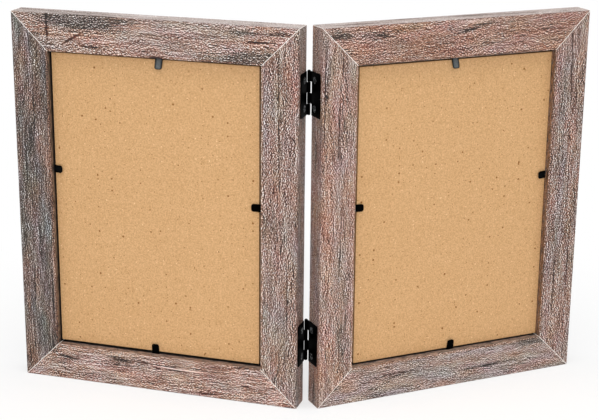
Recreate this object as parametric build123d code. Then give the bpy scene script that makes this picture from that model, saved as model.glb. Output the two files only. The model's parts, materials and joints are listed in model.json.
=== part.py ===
from build123d import *
import os
from math import cos, radians, sin

# Picture, glass and backing board, all in millimetres
picture_width = 127.0
picture_height = 178.0
rebate_clearance = 1.0  # room round the glass and the insert
glass_thickness = 2.0
insert_thickness = 0.3
board_thickness = 3.0
board_trim = 0.5  # edge of the glass to edge of the board

# Where each board lies in the room round it, away from the hinge and upwards: 0 is central, 1 is at the wall
board_places = {"left": (0.6, 0.1), "right": (0.93, -0.24)}

# Moulding
rail_back_width = 22.0  # outer edge to rebate wall, on the back
lip_width = 5.5  # reach of the front lip past the rebate wall
lip_thickness = 3.8
frame_thickness = 13.5
outer_edge_round = 0.5
inner_edge_round = 0.4

# Angle between the two picture faces as the frame stands
open_angle = 139.0

# Butt hinges
hinge_height = 25.0
hinge_end_distance = 38.2  # middle of a hinge to the frame's top or bottom edge
knuckle_count = 4
knuckle_gap = 0.4
barrel_diameter = 2.0
barrel_inset = 0.05  # barrel to the plane of its leaf's screwed face
leaf_thickness = 0.6
leaf_width = 13.3  # pin axis to the leaf's free edge
leaf_notch = 2.6  # pin axis to the leaf's edge beside the other leaf's knuckles
leaf_corner_round = 0.4
leaf_roll_round = 0.5  # where the leaf rolls into its knuckles
pin_diameter = 1.0
pin_clearance = 0.05
pin_head_diameter = 1.6
pin_head_height = 0.3
pin_head_round = 0.15
pin_proud = 1.6  # pin axis in front of the picture face

# Hinge screws
screw_end_distance = 4.5  # screw axis to the leaf's upper or lower end
screw_pin_distance = 6.6  # screw axis to the pin axis
screw_head_diameter = 4.0
screw_head_dome = 0.25
screw_shank_diameter = 2.0
screw_length = 10.0
screw_tip_length = 2.0
screw_clearance = 0.05
cross_slot_length = 2.4
cross_slot_width = 0.55
cross_slot_depth = 0.8

# Bendable tabs over the backing board
tab_width = 4.5
tab_thickness = 0.4
tab_driven_depth = 9.0  # rebate wall to the point inside the rail
tab_point_length = 2.5
tab_corner_round = 1.4
tab_board_gap = 0.1
tab_bend_gap = 0.1  # rebate wall to the rounded root of the flap

# How far each tab reaches from the rebate wall to its free end when it lies flat
tab_reaches = {"top": 6.9, "bottom": 6.3, "hinge": 6.9, "outer": 5.3}

# Each tab's distance from the middle of its side: upwards, or away from the hinge
tab_offsets = {
    "left": {"top": -2.8, "bottom": 2.7, "hinge": 7.2, "outer": 19.3},
    "right": {"top": -1.3, "bottom": 3.3, "hinge": 6.6, "outer": 13.5},
}

# Degrees that each tab stands off the board
tab_leans = {
    "left": {"top": 20.0, "bottom": 6.0, "hinge": 5.0, "outer": 10.0},
    "right": {"top": 20.0, "bottom": 8.0, "hinge": 5.0, "outer": 10.0},
}

# Corner nails, driven across the mitres and sunk below the back face
nail_inset = 8.0  # outer edges to the nail's corner
nail_wing = 6.0
nail_thickness = 0.6
nail_height = 7.0
nail_sink = 1.5

# Sizes that follow from those above
rail_width = rail_back_width + lip_width
frame_width = picture_width + 2 * (rebate_clearance + rail_back_width)
frame_height = picture_height + 2 * (rebate_clearance + rail_back_width)
glass_back = lip_thickness + glass_thickness
insert_back = glass_back + insert_thickness
board_back = insert_back + board_thickness
tab_middle_depth = board_back + tab_board_gap + tab_thickness / 2
tab_bend_distance = rail_back_width + tab_bend_gap + tab_thickness / 2
barrel_radius = barrel_diameter / 2
hinge_gap = barrel_radius + barrel_inset
half_turn = (180 - open_angle) / 2
middle_x = hinge_gap + frame_width / 2
middle_z = frame_height / 2
hinge_heights = {"upper": frame_height - hinge_end_distance, "lower": hinge_end_distance}

# A frame is drawn flat, as the right-hand one. Z is the hinge pins' axis, X runs from the hinge to the
# outer stile, and the picture face looks along +Y. It is then turned to where it stands, with the left
# frame as its mirror image, and the origin is moved below the middle of the pair.


def turned_y(x, y):
    """Y of a point of the flat frame after it is turned to its place."""
    return x * sin(radians(half_turn)) + y * cos(radians(half_turn))


back_corner = (hinge_gap + outer_edge_round, outer_edge_round - pin_proud - frame_thickness)
front_corner = (hinge_gap + frame_width - outer_edge_round, -outer_edge_round - pin_proud)
back_y = turned_y(*back_corner) - outer_edge_round
front_y = turned_y(*front_corner) + outer_edge_round
depth_centre = (back_y + front_y) / 2


def stand(shape, side):
    """Turns a flat right-hand shape to its place, or to the mirrored place on the left."""
    placed = Pos(0, -depth_centre, 0) * Rot(0, 0, half_turn) * shape
    return placed if side == "right" else placed.mirror(Plane.YZ)


def side_place(edge, offset=0):
    """Place on a side of the flat frame: X runs inward from the outer edge, Y = 0 is the picture face."""
    places = {
        "hinge": Pos(hinge_gap, -pin_proud, middle_z + offset),
        "outer": Pos(hinge_gap + frame_width, -pin_proud, middle_z + offset) * Rot(0, 180, 0),
        "bottom": Pos(middle_x + offset, -pin_proud, 0) * Rot(0, -90, 0),
        "top": Pos(middle_x + offset, -pin_proud, frame_height) * Rot(0, 90, 0),
    }
    return places[edge]


def rail(length):
    """A moulding with a rebate on its back, cut to a mitre at both ends."""
    outline = Polyline(
        (0, 0),
        (rail_width, 0),
        (rail_width, -lip_thickness),
        (rail_back_width, -lip_thickness),
        (rail_back_width, -frame_thickness),
        (0, -frame_thickness),
        close=True,
    )
    section = make_face(outline)
    eased = {
        (0, 0): outer_edge_round,
        (0, -frame_thickness): outer_edge_round,
        (rail_width, 0): inner_edge_round,
        (rail_back_width, -frame_thickness): inner_edge_round,
    }
    for corner, radius in eased.items():
        section = fillet(section.vertices().sort_by_distance(corner)[0], radius)
    bar = extrude(section, length / 2, both=True)
    for end in (-1, 1):
        mitre = Plane(origin=(0, 0, end * length / 2), z_dir=(-1, 0, -end))
        bar = split(bar, bisect_by=mitre, keep=Keep.TOP)
    return bar


def sheet(front_depth, back_depth, trim=0):
    """A flat pane in the middle of a frame's rebate, between two depths from the picture face."""
    middle_y = -pin_proud - (front_depth + back_depth) / 2
    pane = Box(picture_width - 2 * trim, back_depth - front_depth, picture_height - 2 * trim)
    return Pos(middle_x, middle_y, middle_z) * pane


def backing_board(side):
    """The board, cut smaller than the glass and slipped to where it lies in the room round it."""
    room = rebate_clearance + board_trim
    away, upwards = board_places[side]
    return Pos(away * room, 0, upwards * room) * sheet(insert_back, board_back, board_trim)


def tab_flap(reach, lean):
    """The free end of a tab: a flat strip, turned away from the board about the line that it bends on."""
    length = rail_back_width + reach - tab_bend_distance
    strip = Pos(length / 2, 0) * Rectangle(length, tab_thickness) + Circle(tab_thickness / 2)
    flap = extrude(strip, tab_width / 2, both=True)
    free_corners = flap.edges().filter_by(Axis.Y).group_by(Axis.X)[-1]
    flap = fillet(free_corners, tab_corner_round)
    return Pos(tab_bend_distance, -tab_middle_depth, 0) * Rot(0, 0, -lean) * flap


def tab_shank():
    """The driven end of a tab, pointed, and flush with the rebate wall."""
    shoulder = tab_point_length - tab_driven_depth
    outline = Polyline(
        (0, -tab_width / 2),
        (0, tab_width / 2),
        (shoulder, tab_width / 2),
        (-tab_driven_depth, 0),
        (shoulder, -tab_width / 2),
        close=True,
    )
    blade = extrude(Plane.XZ * make_face(outline), tab_thickness / 2, both=True)
    return Pos(rail_back_width, -tab_middle_depth, 0) * blade


def corner_nails():
    """Four right-angled strips, each with one wing on either side of a mitre."""
    steps = (
        (0, 0),
        (nail_wing, 0),
        (nail_wing, nail_thickness),
        (nail_thickness, nail_thickness),
        (nail_thickness, nail_wing),
        (0, nail_wing),
    )
    nails = []
    for edge_x, inward_x in ((hinge_gap, 1), (hinge_gap + frame_width, -1)):
        for edge_z, inward_z in ((0, 1), (frame_height, -1)):
            start = (edge_x + inward_x * nail_inset, edge_z + inward_z * nail_inset)
            outline = [(start[0] + inward_x * a, start[1] + inward_z * b) for a, b in steps]
            face = Plane.XZ * make_face(Polyline(*outline, close=True))
            nail = extrude(face, nail_height, dir=(0, 1, 0))
            nails.append(Pos(0, nail_sink - frame_thickness - pin_proud, 0) * nail)
    return nails


def screw_places():
    """Where the two screws of a leaf enter it, on the face turned to the other leaf."""
    rise = hinge_height / 2 - screw_end_distance
    return [Pos(hinge_gap - leaf_thickness, -screw_pin_distance, z) for z in (-rise, rise)]


def screw():
    """A countersunk wood screw along +X, with a low domed head and a cross slot."""
    head, shank = screw_head_diameter / 2, screw_shank_diameter / 2
    dome = TangentArc((-screw_head_dome, 0), (0, head), tangent=(0, 1))
    body = Polyline(
        (0, head),
        (head - shank, shank),
        (screw_length - screw_tip_length, shank),
        (screw_length, 0),
        (-screw_head_dome, 0),
    )
    turned = revolve(make_face(dome + body), Axis.X)
    slot_x = cross_slot_depth / 2 - screw_head_dome
    slots = Box(cross_slot_depth, cross_slot_length, cross_slot_width)
    slots += Box(cross_slot_depth, cross_slot_width, cross_slot_length)
    return turned - Pos(slot_x, 0, 0) * slots


def screw_hole():
    """The countersunk hole that a screw sits in, through the leaf and into the stile."""
    head = screw_head_diameter / 2 + screw_clearance
    shank = screw_shank_diameter / 2 + screw_clearance
    outline = Polyline(
        (-screw_head_dome, 0),
        (-screw_head_dome, head),
        (0, head),
        (head - shank, shank),
        (screw_length - screw_tip_length, shank),
        (screw_length + screw_clearance, 0),
        close=True,
    )
    return revolve(make_face(outline), Axis.X)


def hinge_leaf(first_knuckle):
    """A flat plate on the stile's side, rolled into every second knuckle from the one given."""
    plate_size = leaf_width - leaf_notch
    plate_x = hinge_gap - leaf_thickness / 2
    plate = Pos(plate_x, -leaf_notch - plate_size / 2, 0) * Box(leaf_thickness, plate_size, hinge_height)
    plate = fillet(plate.edges().filter_by(Axis.X).group_by(Axis.Y)[0], leaf_corner_round)
    roll = Pos(plate_x, -leaf_notch / 2) * Rectangle(leaf_thickness, leaf_notch)
    roll = fillet(roll.vertices().sort_by_distance((hinge_gap, 0))[0], leaf_roll_round)
    section = Circle(barrel_radius) + roll - Circle(pin_diameter / 2 + pin_clearance)
    pitch = hinge_height / knuckle_count
    for number in range(first_knuckle, knuckle_count, 2):
        knuckle_z = number * pitch - hinge_height / 2 + knuckle_gap / 2
        plate += Pos(0, 0, knuckle_z) * extrude(section, pitch - knuckle_gap)
    return plate - [place * screw_hole() for place in screw_places()]


def hinge_pin():
    """A pin through all the knuckles, with a rounded head at each end."""
    pin = Cylinder(pin_diameter / 2, hinge_height)
    for end in (-1, 1):
        head = Cylinder(pin_head_diameter / 2, pin_head_height)
        rim = head.edges().sort_by(Axis.Z)[0 if end < 0 else -1]
        pin += Pos(0, 0, end * (hinge_height + pin_head_height) / 2) * fillet(rim, pin_head_round)
    return pin


def write(name, *shapes):
    """Writes one node, as a single solid or a group of separate ones."""
    node = shapes[0] if len(shapes) == 1 else Compound(children=list(shapes))
    export_step(node, f"parts/{name}.step")


os.makedirs("parts", exist_ok=True)

# Rails, cut for the tabs, the nails and the hinge screws
rail_lengths = {"top": frame_width, "bottom": frame_width, "hinge": frame_height, "outer": frame_height}
rail_names = {"top": "top_rail", "bottom": "bottom_rail", "hinge": "hinge_stile", "outer": "outer_stile"}
hinge_holes = [
    Pos(0, 0, z) * place * screw_hole() for z in hinge_heights.values() for place in screw_places()
]
nails = corner_nails()
for side, offsets in tab_offsets.items():
    for edge, length in rail_lengths.items():
        shank = side_place(edge, offsets[edge]) * tab_shank()
        flap = side_place(edge, offsets[edge]) * tab_flap(tab_reaches[edge], tab_leans[side][edge])
        cuts = nails + [shank] + (hinge_holes if edge == "hinge" else [])
        write(f"{side}_{rail_names[edge]}", stand(side_place(edge) * rail(length) - cuts, side))
        write(f"{side}_{edge}_tab_shank", stand(shank, side))
        write(f"{side}_{edge}_tab_flap", stand(flap, side))
    write(f"{side}_corner_nails", *[stand(nail, side) for nail in nails])

    # Glass, paper insert and backing board, face to face in the rebate
    write(f"{side}_glass", stand(sheet(lip_thickness, glass_back), side))
    write(f"{side}_paper_insert", stand(sheet(glass_back, insert_back), side))
    write(f"{side}_backing_board", stand(backing_board(side), side))

# Hinges: the left leaf has the lowest knuckle, the right leaf the highest
for level, z in hinge_heights.items():
    for side, first_knuckle in (("left", 0), ("right", 1)):
        leaf = Pos(0, 0, z) * hinge_leaf(first_knuckle)
        screws = [Pos(0, 0, z) * place * screw() for place in screw_places()]
        write(f"{level}_hinge_{side}_leaf", stand(leaf, side))
        write(f"{level}_hinge_{side}_screws", *[stand(one, side) for one in screws])
    write(f"{level}_hinge_pin", Pos(0, -depth_centre, z) * hinge_pin())
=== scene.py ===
import json
from math import cos, pi, radians, sin

import bpy
import numpy as np
from mathutils import Matrix


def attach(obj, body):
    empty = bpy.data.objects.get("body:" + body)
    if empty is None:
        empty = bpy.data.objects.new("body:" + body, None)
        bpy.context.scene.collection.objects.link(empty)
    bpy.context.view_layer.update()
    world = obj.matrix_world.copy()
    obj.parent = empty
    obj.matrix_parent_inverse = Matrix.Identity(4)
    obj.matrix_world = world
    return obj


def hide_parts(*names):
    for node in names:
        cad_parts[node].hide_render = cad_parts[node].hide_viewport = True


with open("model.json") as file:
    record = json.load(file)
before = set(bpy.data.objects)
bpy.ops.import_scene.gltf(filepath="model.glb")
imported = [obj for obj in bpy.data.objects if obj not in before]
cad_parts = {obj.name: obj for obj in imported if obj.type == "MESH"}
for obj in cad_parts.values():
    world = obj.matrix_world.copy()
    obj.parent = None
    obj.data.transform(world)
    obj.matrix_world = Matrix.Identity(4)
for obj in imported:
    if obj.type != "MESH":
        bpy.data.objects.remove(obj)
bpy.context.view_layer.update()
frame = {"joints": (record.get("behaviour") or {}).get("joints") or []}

# Rails
# Each frame has four lengths of moulded fibreboard, wrapped in a foil that is printed as weathered barn
# wood and embossed with its grain. They are cut to mitres, glued, and nailed across the corners, and the
# cut shows as a pale line where the foil ends.
mm = 0.001
frame_width = 173 * mm
frame_height = 224 * mm
frame_depth = 13.5 * mm
rail_back_width = 22 * mm
lip_width = 5.5 * mm
lip_depth = 3.8 * mm
lip_sink = 0.05 * mm
board_back = 9.1 * mm
outer_edge_round = 0.5 * mm
inner_edge_round = 0.4 * mm
hinge_gap = 1.05 * mm
pin_proud = 1.6 * mm
frame_turn = radians(20.5)
pin_y = next(joint["pos_m"][1] for joint in frame["joints"] if joint["name"] == "fold")

outline_step = 0.3 * mm
corner_steps = 5
length_step = 1.0 * mm
mitre_rows = np.array([0, 0.1, 0.2, 0.35, 0.6]) * mm
mitre_sink = 0.08 * mm
mitre_fade = 0.2 * mm
furrow_depth = 0.12 * mm
furrow_count = 34
stray_count = 5
edge_rim_reach = 0.45 * mm
inner_edge_start = 20 * mm
inner_edge_fade = 1.2 * mm
sharp_edge = radians(40)
# Millimetres by which the print starts further on from rail to rail
print_shift = 500

# Least and most of what is drawn at random for each furrow, in millimetres: its reach along the grain, its
# place across it, how far it wanders, the length of its waves and its width; and then its strength.
furrow_reach = (10, 45)
furrow_place = (-42, 30)
furrow_wander = (0.2, 0.9)
furrow_wave = (9, 22)
furrow_width = (0.35, 0.8)
furrow_strength = (0.4, 1)

# The same for stray marks: their place across, then half length, half width, tilt and strength.
stray_place = (-41, -2)
stray_least = (4, 0.8, -3, 0.4)
stray_most = (18, 3, 3, 0.9)

# Marks in the print, in millimetres: along the rail, across it from its outer edge, half length, half
# width, tilt in degrees and strength. A rail's length runs from the hinge, and a stile's from the bottom.
# Grey is the share of grey ink, contrast is that of the fine grain, and tone and strand, the strength of
# the long lines in it, are in screen levels.
rail_marks = {
    "left_top_rail": {
        "grey": 0.25,
        "tone": -4,
        "contrast": 1.25,
        "strand": 140,
        "smudge": [
            (12.5, 4.2, 8, 1.5, 0, 0.6), (32.5, 4.2, 7, 1.5, 0, 1.1), (160, 9, 8, 8, 0, 0.28),
            (30, 18.4, 18, 3.4, 4, 1.3), (130, 3.2, 20, 4.2, 0, 1.8), (106, 2.6, 12, 2, 0, 0.8),
            (140, -6.5, 35, 6, 0, 0.38),
        ],
        "crack": [
            (150.7, 7.5, 0.7, 8, 0, 1.0), (135.5, 13.8, 6, 0.5, 30, 1.2), (84, 21.4, 4, 0.6, 0, 1.0),
            (18, 4.4, 12, 0.4, 0, 0.4), (22, 9, 11, 0.6, 0, 0.65), (123, 17.9, 5, 0.5, 0, 1.0),
        ],
        "blush": [
            (22, 9, 9, 1.6, 0, 0.8), (64, 13, 22, 5, 0, 0.5), (160, 6, 9, 5, 0, 0.6),
            (112, 7, 6, 2.6, 0, 0.4),
        ],
        "bleach": [
            (20, 10.4, 10, 0.45, 0, 1.1), (34.5, 18.3, 0.8, 3, 0, 0.9), (126, 14.6, 6, 1.6, 0, 0.45),
            (60, 5, 10, 0.4, 0, 0.7),
        ],
    },
    "left_bottom_rail": {
        "grey": 0.05,
        "tone": -2,
        "contrast": 1.25,
        "strand": 260,
        "smudge": [
            (109, 16, 12, 4, 0, 0.5), (143, 14.2, 9, 1.5, 3, 0.75), (153, 18, 5, 2.8, 0, 0.6),
            (95, 16.6, 22, 1.0, 1.5, 0.4), (58, 17.5, 12, 1.6, 0, 0.3),
        ],
        "crack": [
            (93, 16.6, 22, 0.4, 2, 0.75), (75, 14.3, 12, 0.35, 0, 0.7), (87, 14.2, 1.5, 0.5, 20, 1.0),
            (143, 14, 7, 0.4, 4, 0.9), (31.5, 10, 3, 0.4, 0, 0.8), (118, 17, 16, 0.35, 1, 0.4),
            (56, 2, 6, 0.6, 0, 0.7),
        ],
        "blush": [(151, 3, 11, 2.2, 0, 0.9), (90, 6, 30, 5, 0, 0.4), (125, 14, 14, 2, 0, 0.4)],
        "bleach": [
            (66, 15.2, 9, 0.45, 0, 1.5), (79, 15.4, 9, 0.45, 2, 1.5), (141, 20.4, 13, 0.5, 0, 0.8),
            (97, 21, 13, 0.5, 0, 0.8),
        ],
    },
    "left_hinge_stile": {
        "grey": 0.33,
        "tone": -15,
        "contrast": 1.14,
        "strand": 150,
        "smudge": [
            (190, 9, 25, 3.5, 0, 0.25), (60, 3, 40, 3, 0, 0.3), (20, 12, 12, 4, 0, 0.3),
            (70, -7, 40, 7, 0, 0.34),
        ],
        "crack": [
            (166, 11.5, 60, 0.35, 1, 0.5), (162, 3.5, 2.5, 0.5, 45, 1.0), (100, 10, 20, 0.35, 1, 0.5),
            (60, 6, 30, 0.35, 0, 0.5),
        ],
        "blush": [(112, 17, 30, 4, 0, 0.35), (205, 17, 12, 4, 0, 0.45)],
        "bleach": [(70, 21, 6, 0.6, 0, 0.7), (164, -6.5, 22, 5, 0, 0.4)],
    },
    "left_outer_stile": {
        "grey": 0.66,
        "tone": -44,
        "contrast": 0.9,
        "strand": 220,
        "smudge": [
            (85, 4, 5, 2, 0, 0.4), (82, 14, 11, 2.4, 0, 0.5), (25, 18.5, 8, 2.5, 0, 0.5),
            (107, 2, 16, 2, 0, 0.4), (150, 8, 25, 4, 0, 0.35),
        ],
        "crack": [
            (52, 19.6, 18, 0.4, 0, 0.8), (170, 12, 20, 0.35, 1, 0.6), (130, 6, 16, 0.35, -1, 0.6),
            (60, 8, 14, 0.35, 0, 0.6),
        ],
        "blush": [(169, 11, 9, 4, 0, 0.6), (75, 21.2, 35, 0.9, 0, 0.8), (48, 3.5, 9, 2, 0, 0.6)],
        "bleach": [(68, 20.6, 42, 0.5, 0, 0.75), (141, 19, 26, 0.45, 0, 0.85), (48, 3.5, 9, 2.2, 0, 0.45)],
    },
    "right_top_rail": {
        "grey": 0.02,
        "tone": -15,
        "contrast": 1.07,
        "strand": 100,
        "smudge": [(10, 5, 8, 2.4, 0, 0.95), (37, 5.6, 9, 1.9, 0, 0.7), (94, 5.6, 12, 1.1, -12, 0.8)],
        "crack": [
            (94, 5.8, 10, 0.4, -12, 0.5), (107, 14.5, 9, 0.35, 0, 0.5), (60, 17.5, 18, 0.35, 0, 0.4),
            (140, 9, 14, 0.3, 1, 0.4),
        ],
        "blush": [(62, 12, 45, 9, 0, 0.35), (145, 10, 28, 8, 0, 0.35)],
        "bleach": [(96, 1.6, 14, 1.2, 0, 0.9)],
    },
    "right_bottom_rail": {
        "grey": 0.5,
        "tone": 3,
        "contrast": 0.98,
        "strand": 100,
        "smudge": [
            (37, 2, 7, 2, 0, 0.6), (44, 12.6, 19, 2, 1, 0.5), (115, 9, 18, 1.2, 1, 0.7),
            (147, 19.8, 12, 2.4, 0, 1.0), (130, 3.8, 15, 3, 0, 0.25),
        ],
        "crack": [(115, 9, 17, 0.4, 1.5, 0.6), (33, 11, 6, 0.4, 0, 0.7), (55, 13.8, 9, 0.4, 0, 0.8)],
        "blush": [(20, 9, 8, 3.5, 0, 0.7), (134, 13, 7, 2, 0, 0.8), (66, 4, 12, 2.5, 0, 0.4)],
        "bleach": [(118, 3.6, 9, 1.0, 0, 0.6)],
    },
    "right_hinge_stile": {
        "grey": 0.22,
        "tone": -3,
        "contrast": 0.97,
        "strand": 150,
        "smudge": [(38, 15, 18, 4.5, 0, 0.45), (172, 12.5, 24, 4, 0, 0.35), (195, 3, 30, 2, 0, 0.25)],
        "crack": [
            (92, 12.4, 38, 0.35, 1.5, 0.5), (168, 10.8, 17, 0.45, 1, 0.55), (190, 1.8, 36, 0.4, 0.5, 0.65),
            (186, 3, 1.8, 0.5, -45, 1.0), (202, 12.5, 10, 0.4, 0, 0.7),
        ],
        "blush": [(120, 14, 60, 5, 0, 0.3), (150, 4, 50, 3, 0, 0.3)],
        "bleach": [],
    },
    "right_outer_stile": {
        "grey": 0.28,
        "tone": -24,
        "contrast": 1.3,
        "strand": 170,
        "smudge": [(112, 2.4, 18, 2.2, 0, 0.3), (170, 14, 20, 4, 0, 0.2)],
        "crack": [
            (189, 10.2, 28, 0.4, 2, 0.65), (60, 14, 30, 0.35, 0, 0.6), (68, 5, 18, 0.4, 0, 0.7),
            (120, 8, 22, 0.3, 0, 0.5),
        ],
        "blush": [(180, 17, 20, 3, 0, 0.4), (78, 21, 55, 1, 0, 0.7)],
        "bleach": [],
    },
}
rail_edges = {"top_rail": "top", "bottom_rail": "bottom", "hinge_stile": "hinge", "outer_stile": "outer"}
# The outer sides of the moulding carry a painted sheen: paler, greyer and plainer in grain, in a share for
# each rail that is fullest on the top rails' top faces.
side_sheen = {"top_rail": 1.0, "bottom_rail": 0.7, "hinge_stile": 0.0, "outer_stile": 0.4}
# Painted shade on the outer sides, in screen levels: the hinge stiles' sides, which face each other across
# the narrow gap, are darker.
side_shade = {"top_rail": 0, "bottom_rail": 0, "hinge_stile": -14, "outer_stile": 0}
inner_tones = {"top_rail": -5, "bottom_rail": 0, "hinge_stile": 16, "outer_stile": -6}
inner_blush = 0.7
unwrapped_wall = "right_outer_stile"

# Painted shade in the gap round the board: it rises a little above the board's back and fades into the wall.
# On one wall the painted shade rises further, most of all in the upper half.
gap_shade_rise = 0.3 * mm
gap_shade_fade = 0.8 * mm
shaded_wall = "left_outer_stile"
shaded_rise = 2.2 * mm
shaded_fade = 1.0 * mm
upper_start = 110 * mm
upper_run = 30 * mm
upper_rise = 0.6 * mm
upper_shade = 0.3


def stand(flat, side):
    """Turns points of a frame drawn flat, with its hinge pin on Z and its picture face towards +Y.

    x and y turn by the frame's angle about the pin, and the left frame is the mirror image in x.
    """
    x, y, z = np.moveaxis(flat, -1, 0)
    across = x * cos(frame_turn) - y * sin(frame_turn)
    away = x * sin(frame_turn) + y * cos(frame_turn) + pin_y
    return np.stack([across if side == "right" else -across, away, z], axis=-1)


def on_edge(edge, along, inward, depth):
    """Flat-frame points from a place along an edge, a distance in from it and a depth behind the face."""
    y = -pin_proud - depth
    if edge in ("hinge", "outer"):
        x = hinge_gap + (inward if edge == "hinge" else frame_width - inward)
        return np.stack([x, y, along + 0 * x], axis=-1)
    z = inward if edge == "bottom" else frame_height - inward
    return np.stack([hinge_gap + along + 0 * z, y, z], axis=-1)


def eased_outline(corners):
    """A closed outline: straight runs cut into even steps, joined by quarter circles at the rounded corners.

    With unit directions a into a corner and b out of it, its circle's centre is the corner - r a + r b,
    and its points are the centre + r (a sin t - b cos t) for t from 0 to 90 degrees.
    """
    places = corners[:, :2]
    radii = corners[:, 2:]
    ends = np.roll(places, -1, axis=0)
    out = (ends - places) / np.linalg.norm(ends - places, axis=1, keepdims=True)
    turn = np.linspace(0, pi / 2, corner_steps)[:, None]
    pieces = []
    for place, radius, a, b, end, end_radius in zip(
        places, radii, np.roll(out, 1, axis=0), out, ends, np.roll(radii, -1, axis=0)
    ):
        start = place + radius * b
        stop = end - end_radius * b
        steps = max(1, round(np.linalg.norm(stop - start) / outline_step))
        share = np.linspace(0, 1, steps, endpoint=False)[1:, None]
        arc = place - radius * a + radius * b + radius * (a * np.sin(turn) - b * np.cos(turn))
        pieces += [arc if radius > 0 else place[None], start + share * (stop - start)]
    return np.concatenate(pieces)


rail_width = rail_back_width + lip_width
rail_corners = np.array([
    (rail_width, lip_depth - lip_sink, 0),
    (rail_back_width, lip_depth - lip_sink, 0),
    (rail_back_width, frame_depth, inner_edge_round),
    (0, frame_depth, outer_edge_round),
    (0, 0, outer_edge_round),
    (rail_width, 0, inner_edge_round),
])
outline = eased_outline(rail_corners)
outline_next = np.roll(outline, -1, axis=0)
outline_lengths = np.linalg.norm(outline_next - outline, axis=1)
tangents = outline_next - np.roll(outline, 1, axis=0)
tangents /= np.linalg.norm(tangents, axis=1, keepdims=True)
inward_normals = tangents[:, ::-1] * (-1, 1)
travelled = np.concatenate([[0], np.cumsum(outline_lengths)])
back_corner = np.argmin(np.linalg.norm(outline - (0, frame_depth), axis=1))
around = travelled[back_corner] - travelled
eased = np.linalg.norm(outline[:, None] - rail_corners[None, 3:, :2], axis=2).min(axis=1)
edge_rim = np.exp(-(eased / edge_rim_reach) ** 2)
in_rebate = (outline[:, 0] > rail_back_width - inner_edge_round) & (outline[:, 1] > lip_depth - 2 * lip_sink)
wall = np.clip((frame_depth - inner_edge_round / 2 - outline[:, 1]) / inner_edge_round, 0, 1) * in_rebate
outer_side = np.clip(1 - outline[:, 0] / outer_edge_round, 0, 1)
on_back = outline[:, 1] > frame_depth - inner_edge_round
inner_edge = np.clip((outline[:, 0] - inner_edge_start) / inner_edge_fade, 0, 1) * on_back


def oval_marks(marks, along, across):
    """The strongest of some tilted oval patches.

    Each is its strength times exp(-(a / half length)^2 - (b / half width)^2), a along it and b across.
    """
    mask = np.zeros_like(along)
    for middle, inset, length, width, tilt, strength in marks:
        x = along - middle
        y = across - inset
        a = (x * cos(radians(tilt)) + y * sin(radians(tilt))) / length
        b = (y * cos(radians(tilt)) - x * sin(radians(tilt))) / width
        mask = np.maximum(mask, strength * np.exp(-a * a - b * b))
    return mask


def stray_marks(length, random):
    """A few marks at random on the outer side and the picture face."""
    middles = random.uniform((0, stray_place[0]), (length, stray_place[1]), (stray_count, 2))
    sizes = random.uniform(stray_least, stray_most, (stray_count, 4))
    return np.concatenate([middles, sizes], axis=1).tolist()


def furrows(along, across, length, random):
    """Shallow embossed grooves along the grain: bell curves across lines that wander as slow sines."""
    depth = np.zeros_like(along)
    for _ in range(furrow_count):
        middle = random.uniform(0, length)
        reach = random.uniform(*furrow_reach)
        line = random.uniform(*furrow_place)
        wander = random.uniform(*furrow_wander)
        line = line + wander * np.sin(along / random.uniform(*furrow_wave))
        width = random.uniform(*furrow_width)
        fade = np.exp(-((along - middle) / reach) ** 4)
        groove = random.uniform(*furrow_strength) * fade * np.exp(-((across - line) / width) ** 2)
        depth = np.maximum(depth, groove)
    return depth


def wall_shade(name, along):
    """Painted shade in the gap round the board, which reaches higher up one wall, and most in its upper half.
    """
    shaded = name == shaded_wall
    upper = shaded * np.clip((along - upper_start) / upper_run, 0, 1)
    rise = gap_shade_rise + shaded_rise * shaded + upper_rise * upper
    fade = gap_shade_fade + shaded_fade * shaded
    # The painted shade of the gap, fading up the wall from just above the board's back
    joint = np.clip((board_back + rise - outline[:, 1]) / fade, 0, 1)
    return np.maximum(joint, upper_shade * upper) * in_rebate


def closed_tube(rings):
    """Faces of a tube of closed rings, rows of corner numbers, and the two end rings as caps."""
    count, size = rings
    row, column = np.meshgrid(np.arange(count - 1), np.arange(size), indexing="ij")
    after = (column + 1) % size
    lower = row * size
    upper = lower + size
    quads = np.stack([lower + column, lower + after, upper + after, upper + column], axis=-1)
    return quads.reshape(-1, 4), [np.arange(size)[::-1], np.arange(size) + (count - 1) * size]


def new_piece(name, points, quads, caps, flip, attributes):
    """Puts arrays of points, quads and end caps into a mesh, smooth but for its sharp edges."""
    if flip:
        quads = quads[:, ::-1]
        caps = [cap[::-1] for cap in caps]
    corners = np.concatenate([quads.ravel(), *caps])
    sizes = np.concatenate([np.full(len(quads), 4), [len(cap) for cap in caps]]).astype(int)
    mesh = bpy.data.meshes.new(name)
    mesh.vertices.add(len(points))
    mesh.vertices.foreach_set("co", points.astype(np.float32).ravel())
    mesh.loops.add(len(corners))
    mesh.loops.foreach_set("vertex_index", corners)
    mesh.polygons.add(len(sizes))
    mesh.polygons.foreach_set("loop_start", np.cumsum(sizes) - sizes)
    mesh.polygons.foreach_set("use_smooth", np.ones(len(sizes), bool))
    mesh.update(calc_edges=True)
    mesh.set_sharp_from_angle(angle=sharp_edge)
    for label, values in attributes.items():
        layer = mesh.attributes.new(label, "FLOAT", "POINT")
        layer.data.foreach_set("value", values.astype(np.float32).ravel())
    piece = bpy.data.objects.new(name, mesh)
    bpy.context.scene.collection.objects.link(piece)
    return piece, corners


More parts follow.
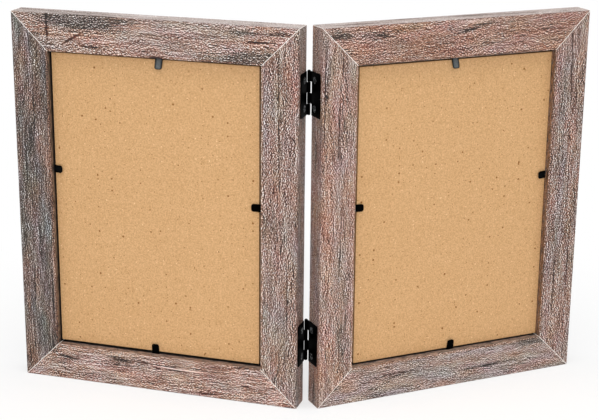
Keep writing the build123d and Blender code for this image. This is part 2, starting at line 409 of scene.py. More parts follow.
def rail_piece(name, number):
    """The moulding's outline carried from mitre to mitre, sunk along the furrows and at the cut ends.

    A point at a distance d in from the rail's outer edge lies d + share * (length - 2 d) along it. It sinks
    by the furrow's depth, plus the cut's depth times exp(-distance to the mitre / its fade).
    """
    side, rail = name.split("_", 1)
    edge = rail_edges[rail]
    length = frame_height if edge in ("hinge", "outer") else frame_width
    reach = length - 2 * outline[:, 0]
    steps = round(length / length_step)
    rows = np.arange(1, steps) / steps
    ends = mitre_rows / length
    shares = np.concatenate([ends, rows[rows > 2 * ends[-1]][:-1], 1 - ends[::-1]])
    along = outline[:, 0] + shares[:, None] * reach
    to_mitre = np.minimum(shares, 1 - shares)[:, None] * reach * cos(pi / 4)
    random = np.random.default_rng(number)
    along_mm = along / mm
    across_mm = np.broadcast_to(around[:-1] / mm, along.shape)
    furrow = furrows(along_mm, across_mm, length / mm, random)
    sink = furrow_depth * furrow + mitre_sink * np.exp(-to_mitre / mitre_fade)
    inward = outline[:, 0] + sink * inward_normals[:, 0]
    depth = outline[:, 1] + sink * inward_normals[:, 1]
    points = stand(on_edge(edge, along, inward, depth), side)

    marks = rail_marks[name]
    masks = {"crack": oval_marks(marks["crack"], along_mm, across_mm)}
    for kind in ("blush", "smudge", "bleach"):
        patches = marks[kind] + stray_marks(length / mm, random)
        masks[kind] = oval_marks(patches, along_mm, across_mm)
    masks["blush"] = np.maximum(masks["blush"], inner_blush * inner_edge)
    # The painted sheen's share over the outer side
    plain = outer_side * side_sheen[rail]
    even_values = {
        "grey": marks["grey"],
        # The tone fades under the painted sheen and takes the painted shade of the hinge sides.
        "tone": marks["tone"] * (1 - plain) + side_shade[rail] * outer_side + inner_tones[rail] * inner_edge,
        "contrast": marks["contrast"],
        "strand": marks["strand"],
        "edge_rim": edge_rim,
        "wall": wall,
        "side": plain,
        "bare": name == unwrapped_wall,
    }
    attributes = {label: np.broadcast_to(value, along.shape) for label, value in even_values.items()}
    attributes |= masks
    attributes |= {"furrow": furrow, "gap_shade": wall_shade(name, along), "mitre": to_mitre / mm}

    quads, caps = closed_tube(along.shape)
    flip = (edge in ("hinge", "top")) != (side == "left")
    piece, corners = new_piece(name + "_moulding", points.reshape(-1, 3), quads, caps, flip, attributes)
    grain = np.stack([along_mm + print_shift * (number + 1), across_mm], axis=-1).reshape(-1, 2)
    piece.data.uv_layers.new(name="grain").uv.foreach_set("vector", grain[corners].astype(np.float32).ravel())
    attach(piece, side + "_frame")
    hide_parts(name)
    return piece


def srgb(red, green, blue):
    """A linear colour from the values of 0 to 255 that it has on a screen."""
    screen = np.array([red, green, blue]) / 255
    linear = np.where(screen < 0.04045, screen / 12.92, ((screen + 0.055) / 1.055) ** 2.4)
    return (*linear.tolist(), 1.0)


def inks(red, green, blue):
    """A colour as shares of full screen values, to be blended as inks before it is made linear."""
    return (red / 255, green / 255, blue / 255, 1.0)


def fill(tree, socket, value):
    """Gives a socket a plain value, or links another node's output to it."""
    if isinstance(value, bpy.types.NodeSocket):
        tree.links.new(value, socket)
    else:
        socket.default_value = value


def add_node(tree, kind, inputs, **settings):
    """Adds a node with some settings, and fills the inputs that are named."""
    made = tree.nodes.new(kind)
    for label, value in settings.items():
        setattr(made, label, value)
    for label, value in inputs.items():
        fill(tree, made.inputs[label], value)
    return made


def node_group(name, inputs, outputs):
    """A new shader node group with named sockets: its tree, its inputs to read and its outputs to fill."""
    tree = bpy.data.node_groups.new(name, "ShaderNodeTree")
    for label, kind in inputs.items():
        tree.interface.new_socket(label, in_out="INPUT", socket_type="NodeSocket" + kind)
    for label, kind in outputs.items():
        tree.interface.new_socket(label, in_out="OUTPUT", socket_type="NodeSocket" + kind)
    return tree, tree.nodes.new("NodeGroupInput").outputs, tree.nodes.new("NodeGroupOutput").inputs


def use_group(tree, group, inputs):
    """Places a node group in a material and returns its outputs."""
    return add_node(tree, "ShaderNodeGroup", inputs, node_tree=group).outputs


def new_material(name):
    """A material with one Principled shader: the material, its tree and its shader."""
    material = bpy.data.materials.new(name)
    material.use_nodes = True
    return material, material.node_tree, material.node_tree.nodes["Principled BSDF"]


def maths(tree, operation, first, second, third=0.0):
    """The result of one sum on values or outputs."""
    inputs = {0: first, 1: second, 2: third}
    return add_node(tree, "ShaderNodeMath", inputs, operation=operation).outputs[0]


def ramp(tree, value, low, high):
    """A smooth step from 0 to 1 as a value goes from low to high."""
    inputs = {"Value": value, "From Min": low, "From Max": high}
    return add_node(tree, "ShaderNodeMapRange", inputs, interpolation_type="SMOOTHSTEP").outputs[0]


def blend(tree, share, first, second):
    """The colour that lies a share of the way from one to another."""
    inputs = {0: share, 6: first, 7: second}
    return add_node(tree, "ShaderNodeMix", inputs, data_type="RGBA").outputs[2]


def on_grain(tree, place, along, across):
    """Grain coordinates, counted in so many millimetres along the grain and across it."""
    scale = {"Vector": place, "Scale": (1 / along, 1 / across, 1)}
    return add_node(tree, "ShaderNodeMapping", scale).outputs[0]


def grain_noise(tree, place, along, across, detail):
    """Noise in patches about so many millimetres long and wide, on the grain's own coordinates."""
    patches = on_grain(tree, place, along, across)
    inputs = {"Vector": patches, "Scale": 1.0, "Detail": detail, "Roughness": 0.6}
    return add_node(tree, "ShaderNodeTexNoise", inputs, noise_dimensions="2D").outputs[0]


def grain_lines(tree, place, along, across, spacing):
    """Broken lines along the grain, a spacing apart, in patches about so many millimetres long and wide."""
    patches = on_grain(tree, place, along, across)
    inputs = {"Vector": patches, "Scale": 1.0, "Frequency": across / spacing, "Anisotropy": 0.92}
    lines = add_node(tree, "ShaderNodeTexGabor", inputs, gabor_type="2D")
    lines.inputs["Orientation"].default_value = pi / 2
    return lines.outputs["Value"]


def attribute(tree, name):
    """A value that the mesh carries at its points."""
    return add_node(tree, "ShaderNodeAttribute", {}, attribute_name=name).outputs["Fac"]


def noise_sum(tree, start, noises, gains):
    """A start value plus, for each gain, that gain times its noise's distance from one half."""
    total = start
    for name, gain in gains.items():
        total = maths(tree, "ADD", maths(tree, "MULTIPLY_ADD", noises[name], gain, -gain / 2), total)
    return total


def emboss(tree, shader, height, strength):
    """Tilts a surface's shading by a height, in some strength."""
    bump = {"Height": height, "Strength": strength, "Distance": bump_depth}
    fill(tree, shader.inputs["Normal"], add_node(tree, "ShaderNodeBump", bump).outputs[0])


bump_depth = 0.1 * mm

# Each ink's share in the levels of a tone, and the palest and darkest inks that print can show
ink_gains = (0.95, 1.01, 1.06)
palest_print = (0.97, 0.955, 0.94)
darkest_print = (0.12, 0.09, 0.08)
screen_levels = 255.0
screen_power = 2.2


def even_tone():
    """A node group that lightens or darkens inks evenly, by so many of the 255 levels that a screen shows.

    Each ink gains about the same, red least and blue most, because gloss greys the darker tones. The inks
    are kept within what print can show, and are made linear by the power of 2.2.
    """
    tree, given, result = node_group("even_tone", {"Inks": "Color", "Levels": "Float"}, {"Color": "Color"})
    gains = {0: ink_gains, "Scale": maths(tree, "DIVIDE", given["Levels"], screen_levels)}
    gain = add_node(tree, "ShaderNodeVectorMath", gains, operation="SCALE").outputs[0]
    tone = given["Inks"]
    for operation, other in (("ADD", gain), ("MINIMUM", palest_print), ("MAXIMUM", darkest_print)):
        tone = add_node(tree, "ShaderNodeVectorMath", {0: tone, 1: other}, operation=operation).outputs[0]
    linear = add_node(tree, "ShaderNodeGamma", {"Color": tone, "Gamma": screen_power})
    fill(tree, result["Color"], linear.outputs[0])
    return tree


foil_marks = ("Grey", "Tone", "Contrast", "Strand", "Smudge", "Crack", "Blush", "Bleach", "Furrow", "Side")

# The print's features: their length along the grain and width across it in millimetres, and the detail of
# their noise. The broken lines have a spacing in place of the detail.
bend_features = {"slow": (34, 14, 2), "quick": (6, 3, 1)}
foil_features = {
    "drift": (45, 9, 1),
    "cloud": (38, 7, 3),
    "rosy": (26, 8, 1),
    "flush": (12, 6, 0),
    "mossy": (31, 8, 1),
    "tinge": (14, 6, 0),
    "hairline": (40, 0.6, 1),
    "scratch": (14, 0.7, 1),
    "strand": (20, 0.55, 1),
    "streak": (13, 0.9, 2),
    "thread": (8, 0.5, 2),
    "fibre": (3.4, 0.6, 2),
    "speck": (0.7, 0.6, 0),
}
broken_lines = (0.85, 1.5, 1.25)

# How far the features push: the grain's bends in millimetres, the raggedness of marks, the grain and its
# clouds in screen levels, the share of grey ink, and the drift to red and to yellow in screen levels.
bend_gains = {"slow": 4.0, "quick": 0.35}
ragged_gains = {"thread": 1.5, "streak": 1.0}
grain_gains = {"streak": 60.0, "fibre": 65.0, "lines": 410.0, "speck": 260.0}
cloud_gains = {"cloud": 45.0}
grey_gains = {"drift": 0.9, "flush": -0.2}
ruddy_gains = {"rosy": 22.0, "flush": 5.0}
sallow_gains = {"mossy": 24.0, "tinge": 9.0}

# Where each mark starts and is full, with the weights of its patch and of the ragged grain in it; the same
# two places for the dark lines in the grain; what the marks do to the grain; and the levels that they add.
mark_edges = {
    "Smudge": (0.1, 0.5, 0.7, 1.0),
    "Blush": (0.0, 0.9, 1.0, 0.4),
    "Bleach": (0.1, 1.2, 1.0, 0.6),
    "Crack": (0.15, 0.5, 1.0, 0.5),
}
line_edges = {"hairline": (0.58, 0.7), "scratch": (0.6, 0.74)}
# The grain flattens under the painted sheen of the Side mark.
grain_changes = {"Clear": -0.7, "Smudge": 0.2, "Side": -0.45}
mark_levels = {
    "hairline": -34.0,
    "scratch": -40.0,
    "Furrow": -15.0,
    "Smudge": -80.0,
    "Blush": -13.0,
    "Bleach": 100.0,
    "Crack": -105.0,
}

# Inks of the ground, one level of each drift in hue, and the marks' own inks with the share that they cover
pink_ink = inks(174, 132, 114)
grey_ink = inks(141, 139, 138)
redder = inks(2 / 3, -1 / 3, -1 / 3)[:3]
yellower = inks(1 / 3, 1 / 3, -2 / 3)[:3]
# The Side ink is the pale grey of the painted sheen on the outer sides.
mark_inks = {
    "Blush": (0.8, inks(171, 132, 110)),
    "Smudge": (0.6, inks(143, 139, 132)),
    "Side": (0.9, inks(176, 163, 158)),
}
levels_per_height = 60.0
# A roughness is what its noise adds, and where it starts.
foil_roughness = (0.25, 0.45)


def printed_foil(tones):
    """A node group for the foil: broad bands of inks under a fine, even grain of broken lines and specks.

    The grain is a sum of noises in screen levels, finest strongest. Smudges, cracks and faded marks are
    ragged along the grain, and the outer sides of the moulding are plainer and paler: a painted sheen.
    """
    tree, given, result = node_group(
        "printed_foil",
        {"Place": "Vector", **{mark: "Float" for mark in foil_marks}},
        {"Color": "Color", "Height": "Float", "Roughness": "Float"},
    )
    bends = {name: grain_noise(tree, given["Place"], *sizes) for name, sizes in bend_features.items()}
    bend = {"Y": noise_sum(tree, 0.0, bends, bend_gains)}
    offset = add_node(tree, "ShaderNodeCombineXYZ", bend).outputs[0]
    place = add_node(tree, "ShaderNodeVectorMath", {0: given["Place"], 1: offset}, operation="ADD").outputs[0]
    noises = {name: grain_noise(tree, place, *sizes) for name, sizes in foil_features.items()}
    noises["lines"] = grain_lines(tree, place, *broken_lines)

    # Marks, broken up along the grain
    ragged = noise_sum(tree, 0.0, noises, ragged_gains)
    marks = {mark: given[mark] for mark in foil_marks}
    for mark, (start, full, patch_weight, ragged_weight) in mark_edges.items():
        patch = maths(tree, "MULTIPLY", given[mark], patch_weight)
        marks[mark] = ramp(tree, maths(tree, "MULTIPLY_ADD", ragged, ragged_weight, patch), start, full)
    for line, (start, full) in line_edges.items():
        marks[line] = ramp(tree, noises[line], start, full)
    marks["Clear"] = maths(tree, "MAXIMUM", marks["Crack"], marks["Bleach"])

    # Levels above or below the ground tone
    grain = maths(tree, "MULTIPLY", maths(tree, "SUBTRACT", noises["strand"], 0.5), given["Strand"])
    grain = noise_sum(tree, grain, noises, grain_gains)
    grain = maths(tree, "MULTIPLY", grain, given["Contrast"])
    for mark, change in grain_changes.items():
        grain = maths(tree, "MULTIPLY", grain, maths(tree, "MULTIPLY_ADD", marks[mark], change, 1.0))
    levels = noise_sum(tree, maths(tree, "ADD", grain, given["Tone"]), noises, cloud_gains)
    for mark, gain in mark_levels.items():
        levels = maths(tree, "MULTIPLY_ADD", marks[mark], gain, levels)

    # Ground inks of one lightness, in greyer and pinker bands that drift in hue, to red and to yellow
    grey_share = noise_sum(tree, given["Grey"], noises, grey_gains)
    ground = blend(tree, grey_share, pink_ink, grey_ink)
    for gains, shift in ((ruddy_gains, redder), (sallow_gains, yellower)):
        shifted = {0: noise_sum(tree, 0.0, noises, gains), 1: shift, 2: ground}
        ground = add_node(tree, "ShaderNodeVectorMath", shifted, operation="MULTIPLY_ADD").outputs[0]
    for mark, (share, ink) in mark_inks.items():
        covered = maths(tree, "MULTIPLY", ramp(tree, marks[mark], 0.0, 1.0), share)
        ground = blend(tree, covered, ground, ink)

    fill(tree, result["Color"], use_group(tree, tones, {"Inks": ground, "Levels": levels})["Color"])
    fill(tree, result["Height"], maths(tree, "DIVIDE", levels, levels_per_height))
    fill(tree, result["Roughness"], maths(tree, "MULTIPLY_ADD", noises["speck"], *foil_roughness))
    return tree


# Colours of the core, the rebate, the darker rim of the rounded edges and the painted shade in the gap round
# the board. The chips that break them up have a length and a width in millimetres and a detail; the pairs are
# where chips start and are full, and the cut's reach from the mitre is in mm.
edge_rim_dark = srgb(66, 55, 50)
wrapped_wall = srgb(160, 130, 110)
bare_wall = srgb(140, 96, 58)
wall_stain = srgb(40, 30, 23)
# The painted shade in the gap round the board
painted_gap_shade = srgb(14, 11, 10)
cut_pale = srgb(255, 250, 244)
chip_feature = (5, 1.2, 2)
edge_rim_chips = (0.35, 0.6)
stain_chips = (0.36, 0.64)
cut_chips = (0.1, 0.35)
cut_reach = (0.09, 0.23)
edge_rim_share = 0.6
wall_share = 0.75
foil_bump = 0.2


def wood_material(foil):
    """The foil over its fibreboard core, shown at the mitres and in the rebate, with a darker rim on the
    rounded edges and painted shade in the gap round the board.
    """
    material, tree, shader = new_material("weathered_wood")
    place = add_node(tree, "ShaderNodeUVMap", {}, uv_map="grain").outputs[0]
    marks = {mark: attribute(tree, mark.lower()) for mark in foil_marks}
    layer = use_group(tree, foil, {"Place": place, **marks})
    chips = grain_noise(tree, place, *chip_feature)
    # A darker rim on the rounded edges, broken into chips
    dark_rim = maths(tree, "MULTIPLY", attribute(tree, "edge_rim"), ramp(tree, chips, *edge_rim_chips))
    colour = blend(tree, maths(tree, "MULTIPLY", dark_rim, edge_rim_share), layer["Color"], edge_rim_dark)
    wall_colour = blend(tree, attribute(tree, "bare"), wrapped_wall, bare_wall)
    stained = blend(tree, ramp(tree, chips, *stain_chips), wall_stain, wall_colour)
    colour = blend(tree, maths(tree, "MULTIPLY", attribute(tree, "wall"), wall_share), colour, stained)
    # Painted shade deep in the gap round the board
    colour = blend(tree, attribute(tree, "gap_shade"), colour, painted_gap_shade)
    cut = maths(tree, "SUBTRACT", 1.0, ramp(tree, attribute(tree, "mitre"), *cut_reach))
    cut = maths(tree, "MULTIPLY", cut, ramp(tree, chips, *cut_chips))
    colour = blend(tree, cut, colour, cut_pale)
    fill(tree, shader.inputs["Base Color"], colour)
    fill(tree, shader.inputs["Roughness"], layer["Roughness"])
    emboss(tree, shader, layer["Height"], foil_bump)
    return material


tones = even_tone()
weathered_wood = wood_material(printed_foil(tones))
for number, name in enumerate(rail_marks):
    rail_piece(name, number).data.materials.append(weathered_wood)

# Corner nails
# Right-angled strips of bare steel, shot into the back of each corner across the mitre and sunk below the
# foil, so that only a cut open frame would show them.
dull_steel = srgb(150, 150, 152)
bright_steel = srgb(196, 196, 198)
steel_bloom = (0.35, 0.65)
steel_roughness = (0.3, 0.25)
fine_detail = 1.0
broad_detail = 3.0


def mottle_group():
    """A node group for two sizes of soft blotches on object coordinates, each a value about one half."""
    tree, given, result = node_group(
        "mottle",
        {"Fine size": "Float", "Broad size": "Float"},
        {"Fine": "Float", "Broad": "Float"},
    )
    place = tree.nodes.new("ShaderNodeTexCoord").outputs["Object"]
    for label, detail in (("Fine", fine_detail), ("Broad", broad_detail)):
        scale = maths(tree, "DIVIDE", 1.0, given[label + " size"])
        inputs = {"Vector": place, "Scale": scale, "Detail": detail}
        fill(tree, result[label], add_node(tree, "ShaderNodeTexNoise", inputs).outputs[0])
    return tree


def steel_material():
    """Bare strip steel, with a dull bloom in blotches."""
    material, tree, shader = new_material("bare_steel")
    spots = use_group(tree, mottle, {"Fine size": 0.4 * mm, "Broad size": 3 * mm})
    colour = blend(tree, ramp(tree, spots["Broad"], *steel_bloom), dull_steel, bright_steel)
    fill(tree, shader.inputs["Base Color"], colour)
    fill(tree, shader.inputs["Roughness"], maths(tree, "MULTIPLY_ADD", spots["Fine"], *steel_roughness))
    shader.inputs["Metallic"].default_value = 1.0
    return material


def finish_nodes(material, *nodes):
    """Gives a material to construction pieces that keep their own shape."""
    for node in nodes:
        slots = bpy.data.objects[node].data.materials
        slots.clear()
        slots.append(material)


mottle = mottle_group()
sides = ("left", "right")
finish_nodes(steel_material(), *[side + "_corner_nails" for side in sides])

# Tab shanks
# The driven ends of the tabs, thin steel blades in black enamel, pressed into the rebate wall just behind
# the place of the backing board.
enamel_black = srgb(2, 2, 2)
enamel_thin = srgb(5, 5, 5)
enamel_cloud = (0.4, 0.7)
# A painted reflection: the grey-blue that the top tabs show where they mirror the front softbox
reflection_dark = srgb(98, 103, 105)
reflection_pale = srgb(118, 122, 123)
reflection_cloud = (0.3, 0.7)
# Painted glints: chips of pale steel scattered in the enamel, set on the screws
glint_steel = srgb(190, 192, 194)
glint_edge = (0.52, 0.62)
enamel_roughness = (0.25, 0.3)
orange_peel = 0.06


def enamel_material(name, gloss, glints):
    """Black enamel on steel: a thin coat with a faint orange peel, with painted glints as chips of pale
    steel, and a painted grey-blue reflection where a piece carries one.
    """
    material, tree, shader = new_material(name)
    spots = use_group(tree, mottle, {"Fine size": 0.5 * mm, "Broad size": 5 * mm})
    colour = blend(tree, ramp(tree, spots["Broad"], *enamel_cloud), enamel_black, enamel_thin)
    # The painted reflection's grey-blue, laid where a piece carries one
    painted_reflection = blend(tree, ramp(tree, spots["Fine"], *reflection_cloud), reflection_dark, reflection_pale)
    colour = blend(tree, attribute(tree, "painted_reflection"), colour, painted_reflection)
    # Painted glints, as chips of pale steel
    chips = maths(tree, "MULTIPLY", ramp(tree, spots["Fine"], *glint_edge), glints)
    colour = blend(tree, chips, colour, glint_steel)
    fill(tree, shader.inputs["Base Color"], colour)
    fill(tree, shader.inputs["Roughness"], maths(tree, "MULTIPLY_ADD", spots["Broad"], *enamel_roughness))
    shader.inputs["Specular IOR Level"].default_value = gloss
    emboss(tree, shader, spots["Fine"], orange_peel)
    return material


black_enamel = enamel_material("black_enamel", gloss=0.01, glints=0.0)
edges = ("top", "bottom", "hinge", "outer")
finish_nodes(black_enamel, *[f"{side}_{edge}_tab_shank" for side in sides for edge in edges])

# Glass panes
# Float glass, cut to the picture's size, laid against the back of the front lip. Its cut edges are hidden in
# the rebate.
glass_tint = srgb(253, 255, 254)
glass_index = 1.5
haze_cloud = (0.4, 0.8)
haze_roughness = 0.03


def glass_material():
    """Clear float glass with a trace of green, and a breath of haze on its surface."""
    material, tree, shader = new_material("clear_glass")
    spots = use_group(tree, mottle, {"Fine size": 2 * mm, "Broad size": 40 * mm})
    haze = ramp(tree, spots["Broad"], *haze_cloud)
    fill(tree, shader.inputs["Roughness"], maths(tree, "MULTIPLY", haze, haze_roughness))
    shader.inputs["Base Color"].default_value = glass_tint
    shader.inputs["Transmission Weight"].default_value = 1.0
    shader.inputs["IOR"].default_value = glass_index
    return material


finish_nodes(glass_material(), *[side + "_glass" for side in sides])

# Paper inserts
# One plain sheet of uncoated paper between each pane and its board, where a picture goes. It is cut to the
# same size and lies almost flat, with a slow ripple.
picture_width = 127 * mm
picture_height = 178 * mm
glass_back = 5.8 * mm
paper_gap = 0.15 * mm
paper_depth = glass_back + paper_gap
paper_thickness = 0.2 * mm
ripple_height = 0.03 * mm
ripple_across = 19 * mm
ripple_up = 27 * mm
paper_step = 3 * mm
thin_paper = srgb(236, 234, 228)
thick_paper = srgb(243, 242, 237)
paper_cloud = (0.3, 0.7)
paper_fibre = srgb(226, 222, 213)
fibre_edge = (0.62, 0.8)
paper_roughness = 0.9


def paper_piece(side):
    """A thin closed band: across its width out and back, carried up its height, with a low ripple.

    The ripple is its height times sin(x / 19 mm) cos(z / 27 mm).
    """
    count = round(picture_width / paper_step)
    half = np.linspace(-0.5, 0.5, count) * picture_width
    x = np.concatenate([half, half[::-1]])
    face = np.repeat([-0.5, 0.5], count) * paper_thickness
    z = np.linspace(-0.5, 0.5, round(picture_height / paper_step))[:, None] * picture_height
    ripple = ripple_height * np.sin(x / ripple_across) * np.cos(z / ripple_up)
    flat = np.stack([
        hinge_gap + frame_width / 2 + x + 0 * z,
        -pin_proud - paper_depth - face + ripple,
        frame_height / 2 + z + 0 * x,
    ], axis=-1)
    quads, caps = closed_tube(flat.shape[:2])
    points = stand(flat, side).reshape(-1, 3)
    piece, _ = new_piece(side + "_paper_sheet", points, quads, caps, side == "right", {})
    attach(piece, side + "_frame")
    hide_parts(side + "_paper_insert")
    return piece


def paper_material():
    """Uncoated off-white paper, cloudy where its fibres lie thicker."""
    material, tree, shader = new_material("plain_paper")
    spots = use_group(tree, mottle, {"Fine size": 0.5 * mm, "Broad size": 7 * mm})
    colour = blend(tree, ramp(tree, spots["Broad"], *paper_cloud), thin_paper, thick_paper)
    colour = blend(tree, ramp(tree, spots["Fine"], *fibre_edge), colour, paper_fibre)
    fill(tree, shader.inputs["Base Color"], colour)
    shader.inputs["Roughness"].default_value = paper_roughness
    return material


plain_paper = paper_material()
for side in sides:
    paper_piece(side).data.materials.append(plain_paper)

# Backing boards
# Thin hardboard, pressed from wood fibre and sawn to the picture's size. It drops into the rebate over the
# insert and lies there loose until the tabs are bent over it.
board_ink = inks(214, 168, 117)
board_cloud = (0.25, 0.75)
board_gains = {"fibre": 26.0, "cloud": 5.0}
board_roughness = (0.2, 0.65)
board_bump = 0.03

# Each kind of fleck: the spacing of its cells, its size, the share of the cells that have one, and the
# levels that it adds. A fleck's reach is the least share of its size plus a growth that differs in each.
board_flecks = {
    "bark": (2.8 * mm, 0.75 * mm, 0.2, -80.0),
    "crumb": (1.3 * mm, 0.42 * mm, 0.3, -50.0),
    "shive": (1.5 * mm, 0.42 * mm, 0.3, 40.0),
}
least_fleck = 0.2
fleck_growth = 0.9
fleck_edge = (0.5, 1.0)
kept_edge = 0.05


def fleck_mask(tree, spacing, size, share):
    """Flecks of many sizes on object coordinates: one in each cell, kept in a share of the cells."""
    place = tree.nodes.new("ShaderNodeTexCoord").outputs["Object"]
    cells = add_node(tree, "ShaderNodeTexVoronoi", {"Vector": place, "Scale": 1 / spacing})
    chances = add_node(tree, "ShaderNodeSeparateColor", {"Color": cells.outputs["Color"]}).outputs
    width = size / spacing
    reach = maths(tree, "MULTIPLY_ADD", chances[1], fleck_growth * width, least_fleck * width)
    distance = maths(tree, "DIVIDE", cells.outputs["Distance"], reach)
    near = maths(tree, "SUBTRACT", 1.0, ramp(tree, distance, *fleck_edge))
    return maths(tree, "MULTIPLY", near, ramp(tree, chances[0], 1 - share, 1 - share + kept_edge))


def fibreboard_material():
    """Raw tan hardboard: fine pale and brown fibres, dark flecks of bark, brown crumbs and pale shives."""
    material, tree, shader = new_material("tan_fibreboard")
    spots = use_group(tree, mottle, {"Fine size": 0.8 * mm, "Broad size": 30 * mm})
    noises = {"fibre": ramp(tree, spots["Fine"], *board_cloud), "cloud": spots["Broad"]}
    levels = noise_sum(tree, 0.0, noises, board_gains)
    for spacing, size, share, gain in board_flecks.values():
        levels = maths(tree, "MULTIPLY_ADD", fleck_mask(tree, spacing, size, share), gain, levels)
    colour = use_group(tree, tones, {"Inks": board_ink, "Levels": levels})["Color"]
    fill(tree, shader.inputs["Base Color"], colour)
    fill(tree, shader.inputs["Roughness"], maths(tree, "MULTIPLY_ADD", spots["Fine"], *board_roughness))
    emboss(tree, shader, spots["Fine"], board_bump)
    return material


finish_nodes(fibreboard_material(), *[side + "_backing_board" for side in sides])

# Tab flaps
# The free ends of the tabs: soft steel strips in black enamel with rounded corners, bent by hand over the
# board, so that each stands off it by its own angle.
tab_width = 4.5 * mm
tab_thickness = 0.4 * mm
tab_root_gap = 0.3 * mm
tab_reaches = {"top": 6.9 * mm, "bottom": 6.3 * mm, "hinge": 6.9 * mm, "outer": 5.3 * mm}
tab_corner_round = 1.4 * mm
tab_edge_round = 0.1 * mm
thinnest_root = 0.1
end_steps = 9
straight_steps = 6
tab_offsets = {
    "left": {"top": -2.8, "bottom": 2.7, "hinge": 7.2, "outer": 19.3},
    "right": {"top": -1.3, "bottom": 3.3, "hinge": 6.6, "outer": 13.5},
}
tab_leans = {
    "left": {"top": 20.0, "bottom": 6.0, "hinge": 5.0, "outer": 10.0},
    "right": {"top": 20.0, "bottom": 8.0, "hinge": 5.0, "outer": 10.0},
}
# How strong the painted reflection on each tab is, how broad that strip is, and how far from the free end it
# stops
reflecting_tabs = {"top": 1.0, "bottom": 0.0, "hinge": 0.0, "outer": 0.03}
reflection_spread = 1.6
reflection_margin = 0.7 * mm


def flap_piece(side, edge):
    """A strip's eased section carried from its round root to its free end, and turned by its lean.

    At the root the thickness grows as a half circle, sqrt(r^2 - s^2) before the bend line. At the free end
    the width draws in by r - r cos t, while the length goes on by r sin t.
    """
    half_width = tab_width / 2
    half_thickness = tab_thickness / 2
    section = eased_outline(np.array([
        (-half_width, -half_thickness, tab_edge_round),
        (half_width, -half_thickness, tab_edge_round),
        (half_width, half_thickness, tab_edge_round),
        (-half_width, half_thickness, tab_edge_round),
    ]))
    length = tab_reaches[edge] - tab_root_gap
    swing = np.linspace(0, pi / 2, end_steps)
    root = -half_thickness * np.cos(swing[:-1])
    straight = np.linspace(0, length - tab_corner_round, straight_steps)
    end = length - tab_corner_round + tab_corner_round * np.sin(swing[1:])
    s = np.concatenate([root, straight, end])[:, None]
    thin = np.concatenate([np.sin(swing[:-1]), np.ones(straight_steps + end_steps - 1)])[:, None]
    draw_in = np.concatenate([np.zeros(end_steps - 1 + straight_steps), 1 - np.cos(swing[1:])])[:, None]
    across = section[:, 0] * (1 - draw_in * tab_corner_round / half_width)
    up = section[:, 1] * np.maximum(thin, thinnest_root)
    lean = radians(tab_leans[side][edge])
    inward = rail_back_width + tab_root_gap + s * cos(lean) - up * sin(lean)
    depth = board_back + tab_root_gap + s * sin(lean) + up * cos(lean)
    # The painted reflection runs along the middle of the strip and stops short of its free end.
    reflection_across = np.clip(reflection_spread * (1 - np.abs(section[:, 0]) / half_width), 0, 1)
    reflection_along = np.clip((length - s) / reflection_margin, 0, 1)
    painted_reflection = reflecting_tabs[edge] * (reflection_across * reflection_along)
    middle = (frame_height if edge in ("hinge", "outer") else frame_width) / 2
    flat = on_edge(edge, middle + tab_offsets[side][edge] * mm + across, inward, depth)
    points = stand(flat, side).reshape(-1, 3)
    quads, caps = closed_tube(across.shape)
    flip = (edge in ("hinge", "top")) == (side == "left")
    piece, _ = new_piece(f"{side}_{edge}_tab_strip", points, quads, caps, flip, {"painted_reflection": painted_reflection})
    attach(piece, f"{side}_{edge}_tab")
    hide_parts(f"{side}_{edge}_tab_flap")
    return piece


for side in sides:
    for edge in edges:
        flap_piece(side, edge).data.materials.append(black_enamel)

# Hinges
# Two pressed steel butt hinges in black enamel. Their leaves are rolled into knuckles round a headed pin and
# screwed to the sides of the two hinge stiles with countersunk cross-head screws.
# The screws' enamel carries painted glints.
glossy_enamel = enamel_material("glossy_enamel", gloss=0.3, glints=0.7)
for level in ("upper", "lower"):
    finish_nodes(black_enamel, f"{level}_hinge_pin", *[f"{level}_hinge_{side}_leaf" for side in sides])
    finish_nodes(glossy_enamel, *[f"{level}_hinge_{side}_screws" for side in sides])

# Floor, light and camera
# A plain white table under a broad softbox overhead and another in front, seen from the height of a person
# who sits at it. The table fades to pure white away from the object.
floor_reach = 4.0
table_white = (0.98, 0.98, 0.98, 1)
table_roughness = 0.9
pure_white = (1, 1, 1, 1)
# Share of pure white in the table as it is seen, near the object and far off, and where the one becomes
# the other
near_glow = 0.6
far_glow = 1.0
glow_fade = (0.14, 0.34)
sky_strength = 0.36


def seen_rays(tree):
    """1 for rays that show a surface to the eye, straight, mirrored or through glass, and 0 for others."""
    path = tree.nodes.new("ShaderNodeLightPath").outputs
    seen = maths(tree, "MAXIMUM", path["Is Camera Ray"], path["Is Glossy Ray"])
    return maths(tree, "MAXIMUM", seen, path["Is Transmission Ray"])


def show_mix(tree, output, share, first, second):
    """Leads a mix of two shaders, with a share of the second, to a tree's output."""
    mix = add_node(tree, "ShaderNodeMixShader", {0: share, 1: first.outputs[0], 2: second.outputs[0]})
    fill(tree, tree.nodes[output].inputs["Surface"], mix.outputs[0])


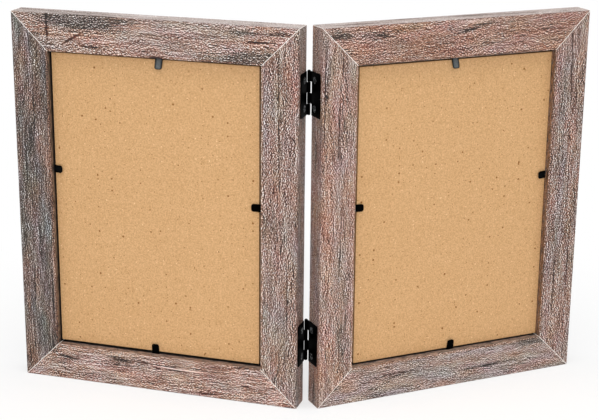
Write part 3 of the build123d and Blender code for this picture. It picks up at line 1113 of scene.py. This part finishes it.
floor_points = np.array([(-1, -1, 0), (1, -1, 0), (1, 1, 0), (-1, 1, 0)]) * floor_reach
floor, _ = new_piece("floor", floor_points, np.array([[0, 1, 2, 3]]), [], False, {})
floor_material, tree, shader = new_material("white_table")
shader.inputs["Base Color"].default_value = table_white
shader.inputs["Roughness"].default_value = table_roughness
shader.inputs["Specular IOR Level"].default_value = 0.0
glow = add_node(tree, "ShaderNodeEmission", {"Color": pure_white, "Strength": 1.0})
floor_place = tree.nodes.new("ShaderNodeTexCoord").outputs["Object"]
distance = add_node(tree, "ShaderNodeVectorMath", {0: floor_place}, operation="LENGTH").outputs["Value"]
share = maths(tree, "MULTIPLY_ADD", ramp(tree, distance, *glow_fade), far_glow - near_glow, near_glow)
show_mix(tree, "Material Output", maths(tree, "MULTIPLY", seen_rays(tree), share), shader, glow)
floor.data.materials.append(floor_material)

world = bpy.data.worlds.new("daylight")
bpy.context.scene.world = world
world.use_nodes = True
tree = world.node_tree
sky = add_node(tree, "ShaderNodeBackground", {"Color": pure_white, "Strength": sky_strength})
white = add_node(tree, "ShaderNodeBackground", {"Color": pure_white, "Strength": 1.0})
show_mix(tree, "World Output", seen_rays(tree), sky, white)

softboxes = {
    "overhead": {"place": (0, -0.3, 1.2), "tilt": -12, "size": (1.6, 1.0), "watts": 12.2},
    "front": {"place": (-0.1, -1.35, 0.85), "tilt": 60, "size": (0.8, 0.6), "watts": 6.0},
}
for name, box in softboxes.items():
    softbox = bpy.data.lights.new(name, "AREA")
    softbox.shape = "RECTANGLE"
    softbox.size, softbox.size_y = box["size"]
    softbox.energy = box["watts"]
    holder = bpy.data.objects.new(name, softbox)
    holder.matrix_world = Matrix.Translation(box["place"]) @ Matrix.Rotation(radians(box["tilt"]), 4, "X")
    bpy.context.scene.collection.objects.link(holder)

camera_place = (-0.0589, pin_y - 0.8124, 0.3653)
camera_turn = radians(3.827)
camera_dip = radians(16.931)
camera_roll = radians(0.585)
# The view's width and focal length in pixels, and the film's width in millimetres
view_width = 599
view_focus = 1493.8
film_width = 36
camera = bpy.data.cameras.new("camera")
camera.sensor_width = film_width
camera.lens = film_width * view_focus / view_width
view = bpy.data.objects.new("camera", camera)
view.matrix_world = (
    Matrix.Translation(camera_place)
    @ Matrix.Rotation(-camera_turn, 4, "Z")
    @ Matrix.Rotation(pi / 2 - camera_dip, 4, "X")
    @ Matrix.Rotation(camera_roll, 4, "Z")
)
bpy.context.scene.collection.objects.link(view)
bpy.context.scene.camera = view
bpy.context.scene.view_settings.view_transform = "Standard"

bpy.context.view_layer.update()
